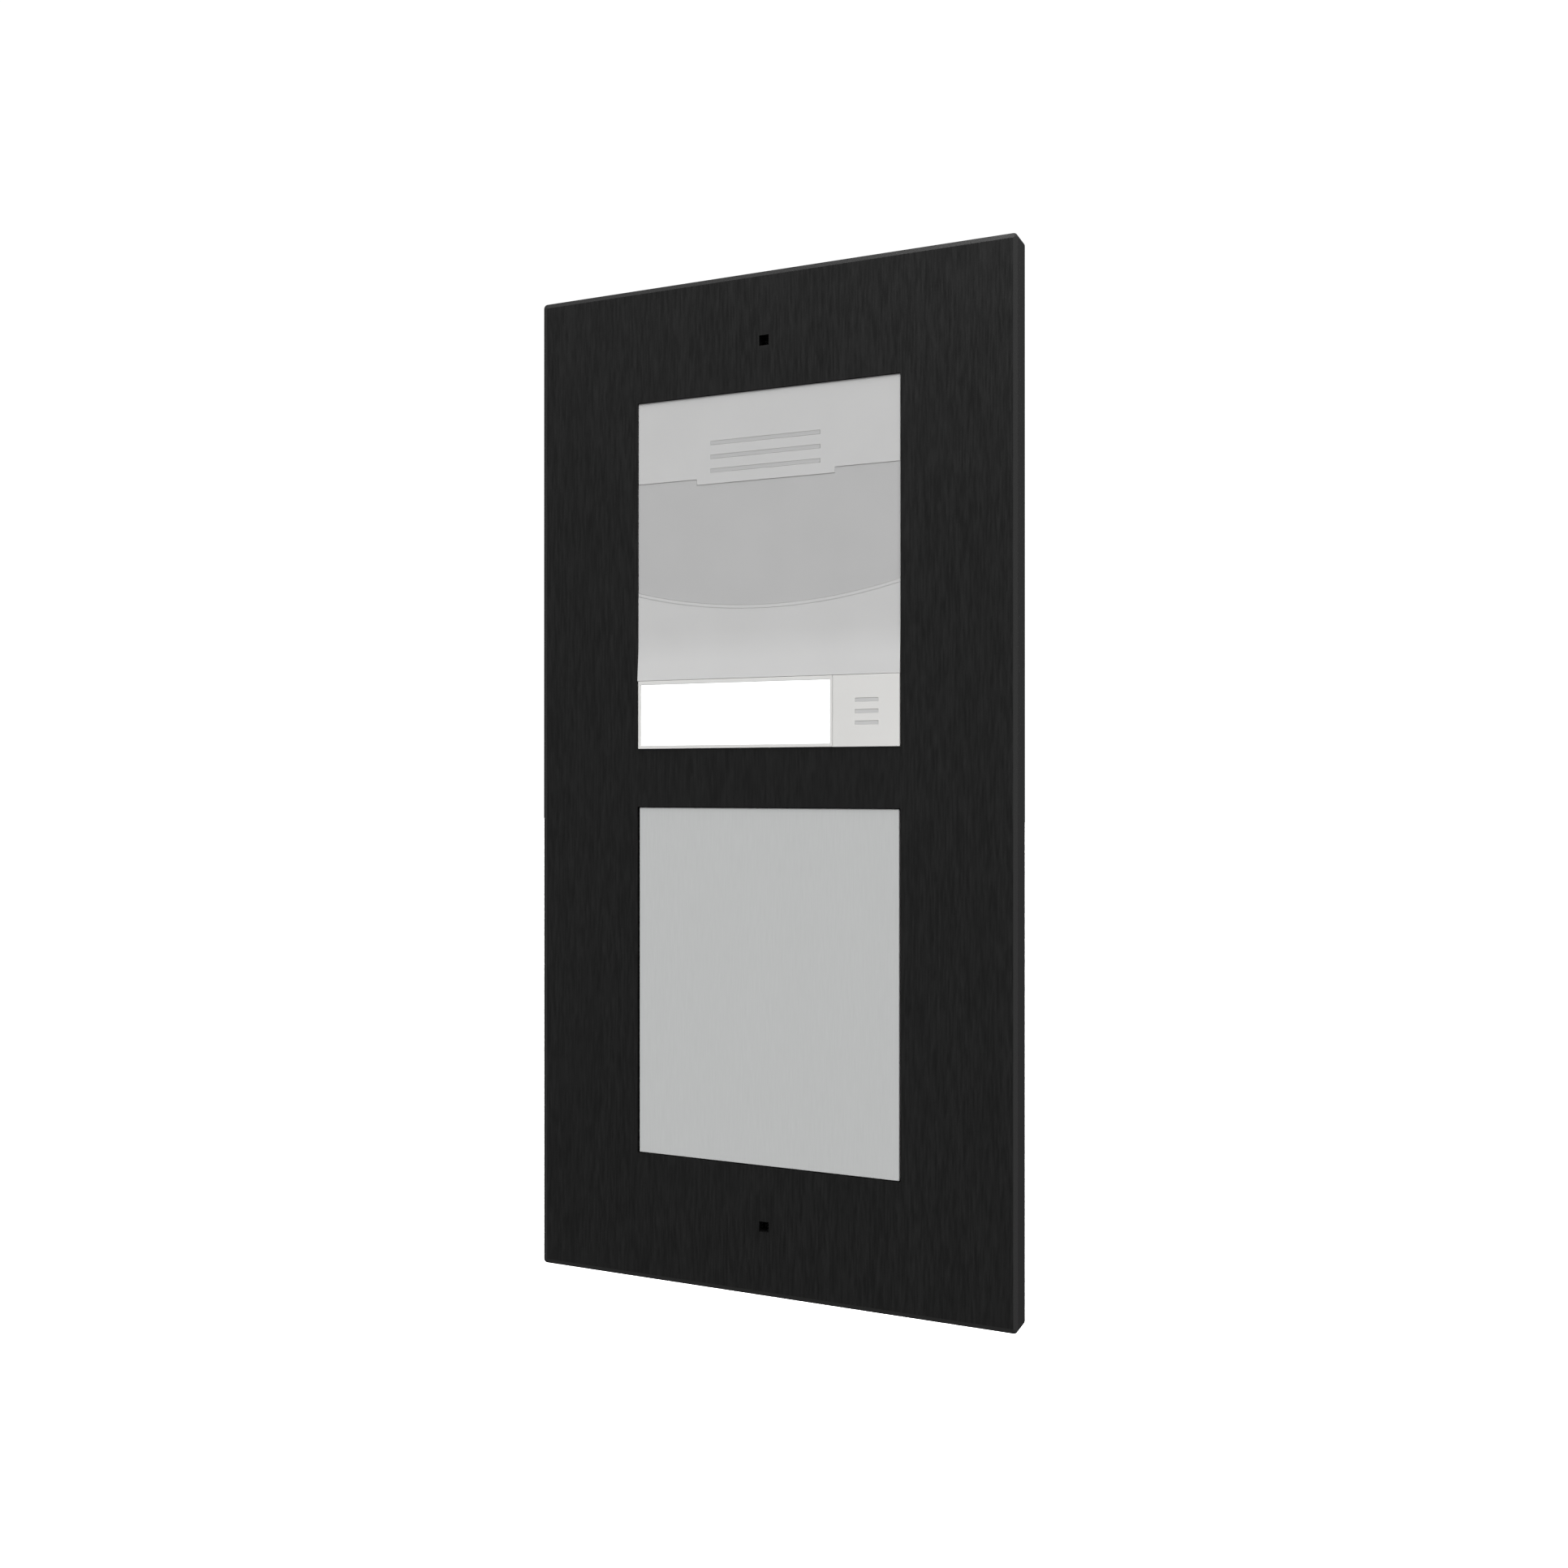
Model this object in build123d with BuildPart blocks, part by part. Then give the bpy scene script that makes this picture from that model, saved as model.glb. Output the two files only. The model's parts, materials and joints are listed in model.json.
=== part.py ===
"""Door intercom panel: a two-module wall plate on a flush-mounted box.

Frame, in millimetres: +Z is up, +X is to the right seen from the front, and the front faces -Y.
The origin is the centre of the flush box's rear face.  Depths called d are measured from the
front plate's face towards the wall, so a depth d lies at y = FRONT + d.
"""
import os
from math import cos, radians, sin, tan

from build123d import *

os.makedirs("parts", exist_ok=True)

# ---------------------------------------------------------------- driving dimensions
PLATE_W, PLATE_H, PLATE_T = 170.0, 336.0, 8.8  # front plate, a folded tray
SKIN = 2.5                       # thickness of the tray's face
RIM_WALL = 2.0                   # thickness of the tray's sides
BAND_W, BAND_T = 1.4, 0.25       # shallow sloping band around the face
BOX_W, BOX_H, BOX_T = 144.0, 304.0, 45.0       # in-wall box
BOX_WALL = 2.0
FRONT = -(BOX_T + PLATE_T)       # y of the plate's face

WINDOW_W, WINDOW_H = 94.6, 117.8  # both module windows
UPPER_Z, LOWER_Z = 70.5, -66.8    # window centres
TOOL_HOLE, TOOL_Z = 3.4, 145.4    # square release holes

FASCIA_W, FASCIA_H = 94.3, 117.5  # audio module's front
PANEL_D = 0.45                    # depth of the centre panel's face
COVER_D = 0.36                    # depth of the speaker cover's face
STRIP_D = -0.44                   # depth of the bottom strip's face
CARRIER_D = 2.0                   # front of the module carriers
FLANGE_D = (5.3, 7.3)             # module flanges
FLANGE_W, FLANGE_H = 108.0, 131.0
CHASSIS_D = (7.3, 8.8)            # chassis plate
CHASSIS_W, CHASSIS_H = 150.0, 310.0
BODY_W, BODY_H = 92.0, 115.0      # module bodies behind the chassis
HOUSING_BACK = 26.0               # depth of the audio module's rear face

COVER_Z = 101.8                   # lower edge of the speaker cover
TAB_W, TAB_Z = 49.9, 99.9         # tab in the middle of that edge
COVER_BACK = 1.1                  # depth of the speaker cover's rear face
SLOT_W, SLOT_H = 39.4, 1.35       # speaker slots
SLOT_Z = (113.5, 108.9, 104.3)
SOUND_Z = (115.8, 111.2, 106.6)   # rows of sound holes, behind the bars between the slots
GRILLE_X, GRILLE_Z = (-20.5, 20.5), (103.0, 117.0)  # opening behind the slots
RIB_D, RIB_GAP = 0.03, 0.05       # ribs that fill the sound slots: depth below the face, and gap
ARC_R, ARC_Z = 190.2, 58.8        # curved upper edge of the lower cover
LIP_W, LIP_T = 1.0, 0.06          # lowered lip along that edge
GROOVE_W, GROOVE_T = 0.14, 0.2    # groove between the lip and the cover's face
BEND_TOP, BEND_END = 50.0, 42.0   # the lower cover bends forward between these heights
BEND_TURN = 4.0                   # degrees that it turns by
SEAM_Z = 34.7                     # top of the bottom strip
SEAM_GAP = 0.14
STRIP_EDGE = 0.06                 # chamfer on the bottom strip's edges
KEY_X = (-46.85, 24.33)           # call key
KEY_Z = (11.75, SEAM_Z)
LABEL_X = (-45.8, 23.35)
LABEL_Z = (12.85, 33.43)
KEY_BOX_X = (-42.2, 20.0)         # key's rear frame
KEY_BOX_Z = (16.8, 31.6)
KEY_BACK = 7.2
STEM_X, STEM_Z = -11.1, 24.2      # where the key meets its switch
SPRING_X = (-36.0, 14.0)          # the key's two springs
LED_X = (-31.0, -20.5, -2.0, 8.5) # diodes that light the name label
MIC_X, MIC_Z = 36.05, 22.95       # microphone
MIC_COVER_X = (24.45, 47.1)
MIC_SLOT_W, MIC_SLOT_H, MIC_PITCH = 7.9, 1.25, 3.65
BOARD_X, BOARD_Z = (-42.0, 42.0), (16.0, 68.0)
BOARD_D = (12.0, 13.6)
BOARD_HOLES = [(x, z) for x in (-38.0, 38.0) for z in (39.0, 64.5)]
SPEAKER_Z = 98.0
SPEAKER_R = 22.0
SPEAKER_CORNERS = [(x, SPEAKER_Z + z) for x in (-22.5, 22.5) for z in (-22.5, 22.5)]
TRIMMER_Z = 52.0
TRIMMER_X = {"speaker_trimmer": -27.0, "microphone_trimmer": -14.0}
TERMINAL_X, TERMINAL_Z = (3.0, 33.5), (46.0, 57.0)
TERMINAL_WAYS = 6
PILLARS = [(x, z) for x in (-62.0, 62.0) for z in (-143.0, 1.85, 143.0)]
STUDS = [(x, z) for x in (-66.0, 66.0) for z in (-128.0, 128.0)]
WALL_HOLES = [(x, z) for x in (-50.0, 50.0) for z in (-110.0, 110.0)]
CONDUIT_R, CONDUIT_D = 10.25, 38.0
LATCH_D = (9.05, 12.05)           # sliding bolts of the two releases
CATCH_Z = (147.5, 149.0)          # plate's catches, above and below the middle
BOLT_Z = (136.0, 149.6)           # release bolts
KNOCKOUT_R, KNOCKOUT_D = 10.25, 32.0             # conduit knock-outs in the sides of the box
SCORE_W, SCORE_T = 0.9, 0.6       # scored ring around a knock-out
BOX_RIB_T, BOX_RIB_W = 0.8, 1.6   # height and width of the flush box's outer ribs


# ---------------------------------------------------------------- helpers
def span(limits):
    """Middle and length of a (low, high) pair."""
    return (limits[0] + limits[1]) / 2, limits[1] - limits[0]


def grown(limits, gap):
    """A (low, high) pair moved outwards by gap at both ends."""
    return limits[0] - gap, limits[1] + gap


def slab(x, d, z, mode=Mode.ADD):
    """Block between two limits in x, in depth and in z."""
    (cx, lx), (cd, ld), (cz, lz) = span(x), span(d), span(z)
    with Locations((cx, FRONT + cd, cz)):
        Box(lx, ld, lz, mode=mode)


def slot(x, z, w, h, d, mode=Mode.ADD):
    """Bar or opening of width w and height h centred on (x, z)."""
    slab((x - w / 2, x + w / 2), d, (z - h / 2, z + h / 2), mode)


def rod(x, z, r, d, mode=Mode.ADD):
    """Round bar or hole running front to back."""
    cd, ld = span(d)
    with Locations((x, FRONT + cd, z)):
        Cylinder(r, ld, rotation=(90, 0, 0), mode=mode)


def countersink(x, z, r_front, r_back, d, mode=Mode.ADD):
    """Cone running front to back."""
    cd, ld = span(d)
    with Locations((x, FRONT + cd, z)):
        Cone(r_back, r_front, ld, rotation=(90, 0, 0), mode=mode)


def facing(d):
    """Sketch plane that faces forward at depth d: sketch x is X and sketch y is Z."""
    return Plane(origin=(0, FRONT + d, 0), x_dir=(1, 0, 0), z_dir=(0, -1, 0))


def panel(w, h, z, d, radius, mode=Mode.ADD):
    """Round-cornered sheet of width w and height h, centred on x = 0."""
    with BuildSketch(facing(d[1])) as outline:
        with Locations((0, z)):
            RectangleRounded(w, h, radius)
    extrude(outline.sketch, amount=d[1] - d[0], mode=mode)


def coil(start, direction, radius, wire, length, turns):
    """Compression spring between two seats."""
    way = Vector(*direction)
    first = Vector(*start) + way * wire
    rise = length - 2 * wire
    path = Helix(rise / turns, rise, radius, center=first, direction=way)
    section = Plane(origin=path @ 0, z_dir=path % 0) * Circle(wire)
    return sweep(section, path, is_frenet=True)


def both(side, limits):
    """A (low, high) pair of distances from the middle, on the side given by 1 or -1."""
    return tuple(sorted((side * limits[0], side * limits[1])))


def save(part, name):
    """Label a finished piece and write it out."""
    part.label = name
    export_step(part, f"parts/{name}.step")


# ---------------------------------------------------------------- front plate
with BuildPart() as front_frame:
    panel(PLATE_W, PLATE_H, 0, (BAND_T, PLATE_T), 1.4)
    with BuildSketch(facing(BAND_T)):
        RectangleRounded(PLATE_W, PLATE_H, 1.4)
    with BuildSketch(facing(0)):
        RectangleRounded(PLATE_W - 2 * BAND_W, PLATE_H - 2 * BAND_W, 0.2)
    loft()
    panel(PLATE_W - 2 * RIM_WALL, PLATE_H - 2 * RIM_WALL, 0, (SKIN, PLATE_T), 1.0, Mode.SUBTRACT)
    for z in (UPPER_Z, LOWER_Z):
        panel(WINDOW_W, WINDOW_H, z, (-1, SKIN + 1), 0.4, Mode.SUBTRACT)
    half = TOOL_HOLE / 2
    for z in (-TOOL_Z, TOOL_Z):
        slab((-half, half), (-1, SKIN + 1), (z - half, z + half), Mode.SUBTRACT)
save(front_frame.part, "front_frame")

# Two angle brackets welded inside the plate: each has a slot that a release bolt enters.
with BuildPart() as plate_catches:
    for side in (-1, 1):
        leg = both(side, CATCH_Z)
        foot = both(side, (CATCH_Z[1], 158.0))
        slab((-7.5, 7.5), (SKIN, 13.6), leg)
        slab((-7.5, 7.5), (SKIN, SKIN + 1.5), foot)
        slab((-5.3, 5.3), (LATCH_D[0] - 0.25, LATCH_D[1] + 0.25), leg, Mode.SUBTRACT)
save(plate_catches.part, "plate_catches")

with BuildPart() as plate_studs:
    for x, z in STUDS:
        rod(x, z, 4.0, (SKIN, SKIN + 1.2))
        rod(x, z, 2.5, (SKIN + 1.2, 11.0))
    fillet(plate_studs.faces().filter_by(Axis.Y).group_by(Axis.Y)[-1].edges(), 0.8)
save(plate_studs.part, "plate_studs")

with BuildPart() as wall_gasket:
    panel(PLATE_W - 4.0, PLATE_H - 4.0, 0, (6.0, PLATE_T), 1.0)
    panel(PLATE_W - 11.0, PLATE_H - 11.0, 0, (5.0, PLATE_T + 1), 1.0, Mode.SUBTRACT)
save(wall_gasket.part, "wall_gasket")

for name, z in (("window_seal_upper", UPPER_Z), ("window_seal_lower", LOWER_Z)):
    with BuildPart() as seal:
        panel(103.0, 126.0, z, (SKIN, FLANGE_D[0]), 2.0)
        panel(95.4, 118.6, z, (SKIN - 1, FLANGE_D[0] + 1), 1.0, Mode.SUBTRACT)
    save(seal.part, name)

# ---------------------------------------------------------------- chassis and flush box
FLANGE_HOLES = [(x, zc + z) for zc in (UPPER_Z, LOWER_Z) for x in (-50.5, 50.5) for z in (-62.0, 62.0)]

with BuildPart() as chassis:
    panel(CHASSIS_W, CHASSIS_H, 0, CHASSIS_D, 4.0)
    for z in (UPPER_Z, LOWER_Z):
        panel(94.0, 117.0, z, (6.0, 10.0), 1.5, Mode.SUBTRACT)
    for z in (-146.0, 146.0):
        panel(18.0, 10.0, z, (6.0, 10.0), 1.0, Mode.SUBTRACT)
    for x, z in STUDS:
        rod(x, z, 2.7, (6.0, 10.0), Mode.SUBTRACT)
    for x, z in PILLARS:
        rod(x, z, 2.2, (6.0, 10.0), Mode.SUBTRACT)
    for x, z in FLANGE_HOLES:
        rod(x, z, 1.55, (6.0, 10.0), Mode.SUBTRACT)
save(chassis.part, "chassis")

with BuildPart() as chassis_screws:
    for x, z in PILLARS:
        rod(x, z, 4.0, (4.7, CHASSIS_D[0]))
    fillet(chassis_screws.faces().filter_by(Axis.Y).group_by(Axis.Y)[0].edges(), 1.2)
    for x, z in PILLARS:
        rod(x, z, 1.95, (CHASSIS_D[0], 19.0))
        slab((x - 2.4, x + 2.4), (4.0, 5.8), (z - 0.45, z + 0.45), Mode.SUBTRACT)
        slab((x - 0.45, x + 0.45), (4.0, 5.8), (z - 2.4, z + 2.4), Mode.SUBTRACT)
save(chassis_screws.part, "chassis_screws")

with BuildPart() as module_screws:
    for x, z in FLANGE_HOLES:
        countersink(x, z, 2.9, 1.5, (FLANGE_D[0], 6.7))
        rod(x, z, 1.5, (6.7, 13.0))
        slab((x - 1.6, x + 1.6), (5.0, 6.0), (z - 0.35, z + 0.35), Mode.SUBTRACT)
        slab((x - 0.35, x + 0.35), (5.0, 6.0), (z - 1.6, z + 1.6), Mode.SUBTRACT)
save(module_screws.part, "module_screws")

def knockout(plane):
    """Scored ring in a wall: the plane lies on the wall's face and points into the wall."""
    with BuildSketch(plane) as ring:
        Circle(KNOCKOUT_R)
        Circle(KNOCKOUT_R - SCORE_W, mode=Mode.SUBTRACT)
    extrude(ring.sketch, amount=SCORE_T, mode=Mode.SUBTRACT)


with BuildPart() as flush_box:
    panel(BOX_W, BOX_H, 0, (PLATE_T, PLATE_T + BOX_T), 4.0)
    inner = (PLATE_T - 1, PLATE_T + BOX_T - BOX_WALL)
    panel(BOX_W - 2 * BOX_WALL, BOX_H - 2 * BOX_WALL, 0, inner, 2.0, Mode.SUBTRACT)
    for x, z in PILLARS:
        rod(x, z, 5.0, (PLATE_T, PLATE_T + BOX_T - 1))
        web = both(1 if x > 0 else -1, (abs(x), BOX_W / 2 - 1))
        slab(web, (PLATE_T, PLATE_T + BOX_T - 1), (z - 1.2, z + 1.2))
    for side in (-1, 1):
        for d in (PLATE_T + 4.0, PLATE_T + BOX_T - 6.0):
            rib = (d, d + BOX_RIB_W)
            slab(both(side, (BOX_W / 2, BOX_W / 2 + BOX_RIB_T)), rib, (-146.0, 146.0))
            for end in (-1, 1):
                slab(both(side, (18.0, 66.0)), rib, both(end, (BOX_H / 2, BOX_H / 2 + BOX_RIB_T)))
    for x, z in PILLARS:
        rod(x, z, 3.0, (PLATE_T - 1, 17.0), Mode.SUBTRACT)
        rod(x, z, 2.2, (16.0, 24.0), Mode.SUBTRACT)
    for x, z in WALL_HOLES:
        rod(x, z, 2.6, (BOX_T, PLATE_T + BOX_T + 1), Mode.SUBTRACT)
    for z in (-151.0, 151.0):
        with Locations((0, FRONT + CONDUIT_D, z)):
            Cylinder(CONDUIT_R, 8.0, mode=Mode.SUBTRACT)
    for side in (-1, 1):
        for z in (-105.0, -45.0, 45.0, 105.0):
            knockout(Plane((side * BOX_W / 2, FRONT + KNOCKOUT_D, z), z_dir=(-side, 0, 0)))
        for x in (-42.0, 42.0):
            knockout(Plane((x, FRONT + KNOCKOUT_D, side * BOX_H / 2), z_dir=(0, 0, -side)))
            knockout(Plane((x, 0, side * 62.0), z_dir=(0, -1, 0)))
save(flush_box.part, "flush_box")

with BuildPart() as box_inserts:
    for x, z in PILLARS:
        rod(x, z, 3.0, (PLATE_T, 17.0))
        rod(x, z, 2.0, (PLATE_T - 1, 18.0), Mode.SUBTRACT)
save(box_inserts.part, "box_inserts")

with BuildPart() as conduit_plug:
    with Locations((0, FRONT + CONDUIT_D, 151.0)):
        Cylinder(CONDUIT_R - 0.05, 3.0)
    with Locations((0, FRONT + CONDUIT_D, 152.75)):
        Cylinder(12.5, 1.5)
    with Locations((0, FRONT + CONDUIT_D, 149.9)):
        Cylinder(8.6, 4.0, mode=Mode.SUBTRACT)
save(conduit_plug.part, "conduit_plug")

# ---------------------------------------------------------------- plate releases
# A flat tool pushed into a square hole bears on the ramp and draws the bolt out of its catch.
with BuildPart() as latch_guides:
    for side in (-1, 1):
        slab((-8.0, 8.0), (CHASSIS_D[1], 13.6), both(side, (130.5, 141.0)))
        slab((-12.0, 12.0), (CHASSIS_D[1], 9.8), both(side, (130.5, 134.0)))
        slab((-5.1, 5.1), (8.0, LATCH_D[1] + 0.1), both(side, (132.0, 142.0)), Mode.SUBTRACT)
save(latch_guides.part, "latch_guides")


def latch_bolt(side):
    """Sliding bolt of the upper (side = 1) or lower (side = -1) release."""
    middle, thick = span(LATCH_D)
    with BuildPart() as bolt:
        slab((-5.0, 5.0), LATCH_D, both(side, BOLT_Z))
        ends = bolt.faces().sort_by(Axis.Z)[-1 if side > 0 else 0].edges()
        chamfer(ends.filter_by(Axis.X), 0.6)
        with BuildSketch(Plane(origin=(-2.3, 0, 0), x_dir=(0, 1, 0), z_dir=(1, 0, 0))) as ramp:
            with BuildLine():
                Polyline(
                    (FRONT + LATCH_D[0] - 0.5, side * 142.9),
                    (FRONT + LATCH_D[1] + 0.2, side * 146.6),
                    (FRONT + LATCH_D[1] + 0.2, side * 147.2),
                    (FRONT + LATCH_D[0] - 0.5, side * 147.2),
                    close=True,
                )
            make_face()
        extrude(amount=4.6, mode=Mode.SUBTRACT)
        with Locations((0, FRONT + middle, side * 138.4)):
            Cylinder(thick / 2 - 0.3, 5.0, mode=Mode.SUBTRACT)
    return bolt.part


for name, side in (("upper", 1), ("lower", -1)):
    save(latch_bolt(side), f"latch_bolt_{name}")
    seat = (0, FRONT + span(LATCH_D)[0], side * 132.0)
    save(coil(seat, (0, 0, side), 0.85, 0.16, 8.8, 8), f"latch_spring_{name}")

# ---------------------------------------------------------------- audio module: shell
with BuildPart() as audio_housing:
    panel(FLANGE_W, FLANGE_H, UPPER_Z, FLANGE_D, 3.0)
    panel(BODY_W, BODY_H, UPPER_Z, (FLANGE_D[0], HOUSING_BACK), 2.5)
    panel(BODY_W - 4.0, BODY_H - 4.0, UPPER_Z, (FLANGE_D[0] - 1, HOUSING_BACK - 2.0), 1.0, Mode.SUBTRACT)
    for x, z in FLANGE_HOLES[:4]:
        rod(x, z, 1.6, (FLANGE_D[0] - 1, 8.0), Mode.SUBTRACT)
        countersink(x, z, 3.0, 1.6, (FLANGE_D[0], 6.7), Mode.SUBTRACT)
    for x in (-45.0, 45.0):
        for z in (50.0, 95.0):
            slab((x - 3.0, x + 3.0), (7.9, 9.9), (z - 4.2, z + 4.2), Mode.SUBTRACT)
    slab(grown(TERMINAL_X, 1.0), (20.0, 30.0), grown(TERMINAL_Z, 1.0), Mode.SUBTRACT)
    for x in TRIMMER_X.values():
        rod(x, TRIMMER_Z, 3.0, (20.0, 30.0), Mode.SUBTRACT)
save(audio_housing.part, "audio_housing")

with BuildPart() as front_carrier:
    panel(94.0, 117.2, UPPER_Z, (CARRIER_D, FLANGE_D[0]), 0.4)
    spigot = (FLANGE_D[0], 9.3)
    panel(87.8, 110.8, UPPER_Z, spigot, 1.0)
    panel(84.8, 107.8, UPPER_Z, (FLANGE_D[0], 10.0), 1.0, Mode.SUBTRACT)
    for x in (-44.2, 44.2):
        for z in (50.0, 95.0):
            slab((x - 0.6, x + 0.6), (8.0, 9.3), (z - 4.0, z + 4.0))
    slab((-42.8, 20.5), (FLANGE_D[0], 10.0), (14.0, 17.9), Mode.SUBTRACT)
    for x, z in BOARD_HOLES:
        rod(x, z, 3.2, (FLANGE_D[0], BOARD_D[0]))
        rod(x, z, 1.25, (6.0, BOARD_D[0] + 1), Mode.SUBTRACT)
    for x, z in SPEAKER_CORNERS:
        rod(x, z, 2.6, (FLANGE_D[0], 6.3))
        rod(x, z, 1.05, (3.4, 7.0), Mode.SUBTRACT)
    rod(0, SPEAKER_Z, SPEAKER_R - 0.5, (3.2, 6.0), Mode.SUBTRACT)
    slab(GRILLE_X, (1.0, 3.3), GRILLE_Z, Mode.SUBTRACT)
    slab((-48.0, MIC_COVER_X[0]), (1.0, 3.9), (11.0, SEAM_Z + SEAM_GAP), Mode.SUBTRACT)
    slab((-42.5, 20.3), (1.0, 6.0), (16.5, 31.9), Mode.SUBTRACT)
    rod(MIC_X, MIC_Z, 2.0, (1.0, 6.0), Mode.SUBTRACT)
save(front_carrier.part, "front_carrier")

# ---------------------------------------------------------------- audio module: front pieces
FASCIA_TOP = UPPER_Z + FASCIA_H / 2
SIDE = FASCIA_W / 2


def cover_outline(gap, d, mode=Mode.ADD):
    """Speaker cover's outline, with its tab, grown by gap below."""
    slab((-SIDE, SIDE), d, (COVER_Z - gap, FASCIA_TOP), mode)
    slab((-TAB_W / 2 - gap, TAB_W / 2 + gap), d, (TAB_Z - gap, COVER_Z), mode)


with BuildPart() as speaker_cover:
    cover_outline(0.0, (COVER_D, COVER_BACK))
    slab(GRILLE_X, (COVER_BACK - 0.3, COVER_BACK + 1.0), grown(GRILLE_Z, 0.4), Mode.SUBTRACT)
    for z in SLOT_Z:
        slot(0, z, SLOT_W, SLOT_H, (-1, 1), Mode.SUBTRACT)
    front = speaker_cover.faces().sort_by(Axis.Y)[0]
    ledges = [wire.edges().sort_by(Axis.Z)[0] for wire in front.inner_wires()]
    chamfer(front.edges().filter_by(Axis.Z) + ledges, 0.12)
save(speaker_cover.part, "speaker_cover")

with BuildPart() as centre_panel:
    slab((-SIDE, SIDE), (PANEL_D, CARRIER_D), (50.0, FASCIA_TOP))
    with Locations((0, FRONT, ARC_Z + ARC_R)):
        Cylinder(ARC_R - 0.06, 20.0, rotation=(90, 0, 0), mode=Mode.INTERSECT)
    cover_outline(0.05, (0.0, COVER_BACK), Mode.SUBTRACT)
    for z in SLOT_Z:
        slot(0, z, SLOT_W - 2 * RIB_GAP, SLOT_H - 2 * RIB_GAP, (COVER_D + RIB_D, COVER_BACK))
    for z in SOUND_Z:
        for x in range(-16, 17, 4):
            rod(x, z, 0.7, (0, 3), Mode.SUBTRACT)
save(centre_panel.part, "centre_panel")

# The cover's face is upright at its top and leans forward below the bend, down to the strip.
COVER_END = SEAM_Z + SEAM_GAP
BEND_R = (BEND_TOP - BEND_END) / sin(radians(BEND_TURN))
LEAN = (BEND_END - COVER_END) * tan(radians(BEND_TURN))
LOWER_FACE_D = STRIP_D + LEAN + BEND_R * (1 - cos(radians(BEND_TURN)))
HIDDEN_TOP = ARC_Z + 9.0           # above the arc's highest point

with BuildPart() as lower_cover:
    with BuildSketch(Plane(origin=(-SIDE, 0, 0), x_dir=(0, 1, 0), z_dir=(1, 0, 0))):
        with BuildLine():
            bend = JernArc((FRONT + LOWER_FACE_D, BEND_TOP), (0, -1), BEND_R, -BEND_TURN)
            Polyline(bend @ 1, (FRONT + STRIP_D, COVER_END), (FRONT + CARRIER_D, COVER_END),
                     (FRONT + CARRIER_D, HIDDEN_TOP), (FRONT + LOWER_FACE_D, HIDDEN_TOP), bend @ 0)
        make_face()
    extrude(amount=FASCIA_W)
    with Locations((0, FRONT, ARC_Z + ARC_R)):
        Cylinder(ARC_R, 20.0, rotation=(90, 0, 0), mode=Mode.SUBTRACT)
    with Locations((0, FRONT + LOWER_FACE_D + LIP_T - 1.0, ARC_Z + ARC_R)):
        Cylinder(ARC_R + LIP_W, 2.0, rotation=(90, 0, 0), mode=Mode.SUBTRACT)
    with BuildSketch(facing(LOWER_FACE_D + GROOVE_T)) as groove:
        with Locations((0, ARC_Z + ARC_R)):
            Circle(ARC_R + LIP_W + GROOVE_W)
            Circle(ARC_R + LIP_W, mode=Mode.SUBTRACT)
    extrude(groove.sketch, amount=GROOVE_T + 1.0, mode=Mode.SUBTRACT)
save(lower_cover.part, "lower_cover")

MIC_SLOT_Z = [MIC_Z + n * MIC_PITCH for n in (-1, 0, 1)]
MIC_BACK = 0.8                     # depth of the screen behind the microphone slots

with BuildPart() as microphone_cover:
    slab(MIC_COVER_X, (STRIP_D, CARRIER_D), (KEY_Z[0] - 0.05, KEY_Z[1]))
    slot(MIC_X, MIC_Z, 15.0, 13.0, (MIC_BACK, 3.0), Mode.SUBTRACT)
    for z in MIC_SLOT_Z:
        slot(MIC_X, z, MIC_SLOT_W, MIC_SLOT_H, (-2, 2), Mode.SUBTRACT)
    chamfer(microphone_cover.faces().sort_by(Axis.Y)[0].edges(), STRIP_EDGE)
save(microphone_cover.part, "microphone_cover")

with BuildPart() as microphone_screen:
    slot(MIC_X, MIC_Z, 14.6, 12.6, (MIC_BACK, CARRIER_D))
    for z in MIC_SLOT_Z:
        slot(MIC_X, z, MIC_SLOT_W - 2 * RIB_GAP, MIC_SLOT_H - 2 * RIB_GAP, (STRIP_D + RIB_D, MIC_BACK))
    slab((MIC_X - 1.0, MIC_X + 1.0), (0.0, 1.1), (MIC_SLOT_Z[1] + 0.5, MIC_SLOT_Z[2] - 0.5), Mode.SUBTRACT)
    rod(MIC_X, MIC_Z + MIC_PITCH / 2, 0.5, (0, 3), Mode.SUBTRACT)
save(microphone_screen.part, "microphone_screen")

# ---------------------------------------------------------------- call key
WINDOW_BACK = STRIP_D + 0.4        # layers in the key, front to back
LABEL_BACK = WINDOW_BACK + 0.25
GUIDE_BACK = 2.3

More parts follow.
